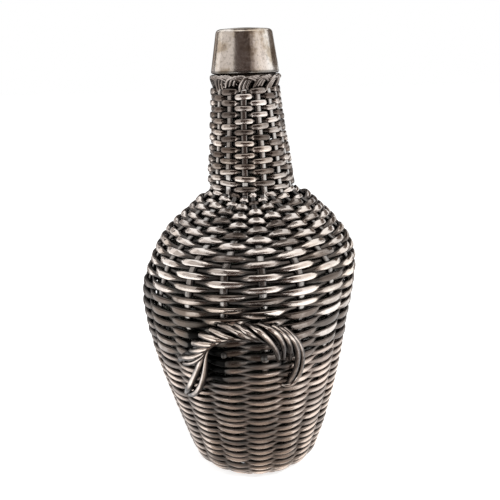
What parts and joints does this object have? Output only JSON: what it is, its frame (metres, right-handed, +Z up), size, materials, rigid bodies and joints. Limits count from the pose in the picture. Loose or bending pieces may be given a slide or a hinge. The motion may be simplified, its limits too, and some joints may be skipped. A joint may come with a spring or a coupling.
{
  "type": "hip flask",
  "caption": "Bottle-shaped hip flask in a woven metal jacket, with a tapered screw cap on a long neck and a twisted side handle.",
  "frame": {"origin": "on the table under the middle of the base, on the bottle's axis", "axes": "+Z up along the bottle's axis to the cap, -Y towards the handle, +X to the right of someone facing the handle"},
  "size_m": [0.0883, 0.1016, 0.18],
  "materials": {
    "woven_rods": "oxidised silver, worn bright on the crests",
    "stake_rods": "oxidised silver, dark",
    "handle_rods": "oxidised silver, worn bright on the crests",
    "cap_silver": "polished silver, lightly tarnished",
    "collar_silver": "polished silver, tarnished",
    "bottle_glass": "very dark glass",
    "cork": "matte cork"
  },
  "bodies": {
    "flask": {"glass_bottle": "bottle_glass", "neck_collar": "collar_silver", "neck_thread": "collar_silver", "base_sticks_pierced": "stake_rods", "base_sticks_threaded": "stake_rods", "base_weave_under": "woven_rods", "base_weave_over": "woven_rods", "foot_wale": "woven_rods", "neck_stakes": "stake_rods", "lower_weave_odd": "woven_rods", "lower_weave_even": "woven_rods", "belly_weave_odd": "woven_rods", "belly_weave_even": "woven_rods", "shoulder_weave_odd": "woven_rods", "shoulder_weave_even": "woven_rods", "neck_weave_odd": "woven_rods", "neck_weave_even": "woven_rods", "neck_border": "woven_rods", "handle_core": "handle_rods", "stake_1": "stake_rods", "stake_2": "stake_rods", "stake_3": "stake_rods", "stake_4": "stake_rods", "stake_5": "stake_rods", "stake_6": "stake_rods", "stake_7": "stake_rods", "stake_8": "stake_rods", "stake_9": "stake_rods", "stake_10": "stake_rods", "stake_11": "stake_rods", "stake_12": "stake_rods", "stake_13": "stake_rods", "stake_14": "stake_rods", "stake_15": "stake_rods", "stake_16": "stake_rods", "handle_strand_1": "handle_rods", "handle_strand_2": "handle_rods", "handle_strand_3": "handle_rods", "handle_strand_4": "handle_rods", "handle_strand_5": "handle_rods"},
    "cap_seal": {"cork_wad": "cork"},
    "cap": {"cap_shell": "cap_silver", "cap_sleeve": "collar_silver", "cap_thread": "collar_silver"}
  },
  "joints": [
    {"name": "cap_lift", "type": "slide", "parent": "flask", "child": "cap_seal", "axis": [0, 0, 1], "range_m": [0, 0.024]},
    {"name": "cap_turn", "type": "hinge", "parent": "cap_seal", "child": "cap", "pos_m": [0, 0, 0.176], "axis": [0, 0, 1], "range_deg": [0, 1440]}
  ],
  "couplings": [
    {"joint": "cap_lift", "follows": "cap_turn", "m_per_rad": 0.00095493}
  ]
}
